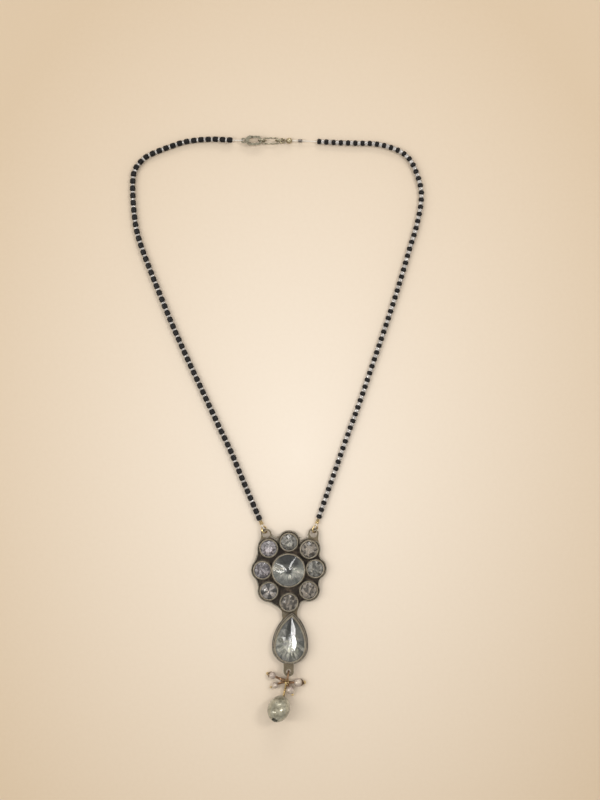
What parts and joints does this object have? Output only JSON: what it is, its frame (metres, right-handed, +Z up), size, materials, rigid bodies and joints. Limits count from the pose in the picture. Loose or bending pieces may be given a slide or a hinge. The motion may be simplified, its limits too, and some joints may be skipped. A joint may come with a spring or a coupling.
{
  "type": "mangalsutra",
  "caption": "Strung loop of black beads with a flower and pear shaped stone pendant, pearl drops and a small lobster clasp, lying flat.",
  "frame": {"origin": "middle of the floor rectangle under the lying necklace", "axes": "+Y from the drops to the clasp, +Z up out of the stones, +X to the wearer's left as seen from the front"},
  "size_m": [0.132, 0.2621, 0.0112],
  "materials": {
    "antique_metal": "cast, antiqued, worn bright on the rims",
    "centre_crystal": "polished, foil backed",
    "petal_crystal": "polished, foil backed",
    "pear_crystal": "polished, foil backed",
    "gold_wire": "bright drawn wire",
    "copper_wire": "tarnished drawn wire",
    "dark_metal": "tarnished",
    "clasp_metal": "plated, slightly dull",
    "thread": "plain twisted thread",
    "black_glass": "polished, opaque",
    "clear_glass": "polished, silver lined",
    "small_pearl": "pearl lustre",
    "big_pearl": "worn pearl lustre"
  },
  "bodies": {
    "necklace": {"pendant_setting": "antique_metal", "centre_stone": "centre_crystal", "pear_stone": "pear_crystal", "petal_stone_1": "petal_crystal", "petal_stone_2": "petal_crystal", "petal_stone_3": "petal_crystal", "petal_stone_4": "petal_crystal", "petal_stone_5": "petal_crystal", "petal_stone_6": "petal_crystal", "petal_stone_7": "petal_crystal", "petal_stone_8": "petal_crystal", "lug_ring_left": "gold_wire", "lug_ring_right": "gold_wire", "thread_left": "thread", "thread_right": "thread", "beads_left": "black_glass", "beads_right": "black_glass", "clasp_body": "clasp_metal", "clasp_ring": "clasp_metal", "clasp_link": "clasp_metal", "clasp_end_ring": "clasp_metal", "bead_tip": "gold_wire", "crimp": "dark_metal", "drop_ring": "copper_wire", "pearl_pin_1": "gold_wire", "pearl_pin_2": "gold_wire", "pearl_pin_3": "gold_wire", "pearl_pin_4": "gold_wire", "big_pearl_pin": "gold_wire", "small_pearl_1": "small_pearl", "small_pearl_2": "small_pearl", "small_pearl_3": "small_pearl", "small_pearl_4": "small_pearl", "big_pearl": "big_pearl"},
    "lever": {"clasp_lever": "clasp_metal"}
  },
  "joints": [
    {"name": "lever_hinge", "type": "hinge", "parent": "necklace", "child": "lever", "pos_m": [-0.0122, 0.13043, 0.00205], "axis": [0, 0, -1], "range_deg": [0, 20], "stiffness_Nm_per_rad": 0.002, "springref_deg": -11.46}
  ]
}
